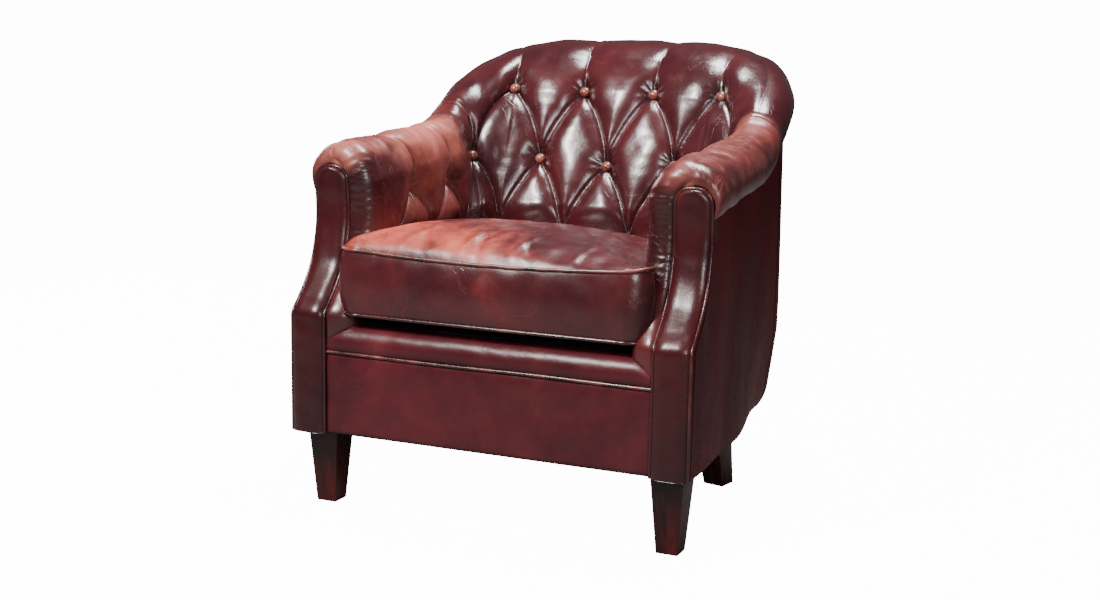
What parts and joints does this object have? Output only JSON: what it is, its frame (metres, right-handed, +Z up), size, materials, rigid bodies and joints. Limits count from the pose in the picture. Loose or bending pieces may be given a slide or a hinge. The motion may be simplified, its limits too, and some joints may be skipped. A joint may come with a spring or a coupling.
{
  "type": "upholstered armchair",
  "caption": "Low tub armchair: button-tufted back flowing into rolled arms, scrolled arm facings, loose box cushion, panelled front and short tapered timber legs.",
  "frame": {"origin": "on the floor under the middle of the chair's overall box", "axes": "-Y faces the way the sitter faces, +X is the sitter's left, +Z is up"},
  "size_m": [0.7542, 0.772, 0.8159],
  "materials": {
    "burgundy_leather": "glossy waxed pull-up leather with creases",
    "worn_leather": "waxed leather rubbed lighter on its crown and edges",
    "piping_leather": "leather-wrapped cord",
    "button_leather": "small leather-covered domes",
    "leg_timber": "dark mahogany stain under satin lacquer",
    "frame_timber": "sawn hardwood",
    "fibreboard": "plain tack board",
    "hessian": "coarse jute weave",
    "black_lining": "thin non-woven lining",
    "deck_cloth": "plain dark platform cloth",
    "pad_foam": "foam and wadding",
    "cushion_foam": "foam block wrapped in wadding",
    "spring_steel": "oil-tempered wire",
    "zinc_steel": "zinc-plated",
    "nylon_glide": "hard nylon",
    "twine": "waxed button twine",
    "zip": "woven tape with moulded teeth"
  },
  "bodies": {
    "chair": {"arm_board_left": "fibreboard", "arm_board_right": "fibreboard", "arm_buttons_left": "button_leather", "arm_buttons_right": "button_leather", "arm_hessian_left": "hessian", "arm_hessian_right": "hessian", "arm_rail_left": "frame_timber", "arm_rail_right": "frame_timber", "arm_roll_left": "burgundy_leather", "arm_roll_right": "burgundy_leather", "back_board": "fibreboard", "back_buttons": "button_leather", "back_hessian": "hessian", "back_post_left": "frame_timber", "back_post_right": "frame_timber", "back_rail": "frame_timber", "back_roll": "burgundy_leather", "border_piping": "piping_leather", "button_ties": "twine", "corner_blocks": "frame_timber", "crest_rail": "frame_timber", "deck_cover": "deck_cloth", "deck_hessian": "hessian", "deck_pad": "pad_foam", "dust_cover": "black_lining", "facing_pad_left": "burgundy_leather", "facing_pad_right": "burgundy_leather", "facing_piping_left": "piping_leather", "facing_piping_right": "piping_leather", "front_border": "burgundy_leather", "front_leg_left": "leg_timber", "front_leg_right": "leg_timber", "front_post_left": "frame_timber", "front_post_right": "frame_timber", "front_rail": "frame_timber", "inside_arm_pad_left": "burgundy_leather", "inside_arm_pad_right": "burgundy_leather", "inside_back_pad": "burgundy_leather", "leg_bolts": "zinc_steel", "leg_glides": "nylon_glide", "leg_nuts": "zinc_steel", "lip_roll": "burgundy_leather", "outside_arm_cover_left": "burgundy_leather", "outside_arm_cover_right": "burgundy_leather", "outside_back_cover": "burgundy_leather", "rear_leg_left": "leg_timber", "rear_leg_right": "leg_timber", "rear_spring_rail": "frame_timber", "seat_springs": "spring_steel", "side_rail_left": "frame_timber", "side_rail_right": "frame_timber", "spring_clips": "spring_steel"},
    "cushion": {"cushion_border": "worn_leather", "cushion_bottom": "worn_leather", "cushion_core": "cushion_foam", "cushion_top": "worn_leather", "cushion_welt_bottom": "piping_leather", "cushion_welt_top": "piping_leather", "cushion_zip": "zip"}
  },
  "joints": [
    {"name": "cushion_slide", "type": "slide", "parent": "chair", "child": "cushion", "axis": [0, -0.9781, 0.2079], "range_m": [0, 0.56]}
  ]
}
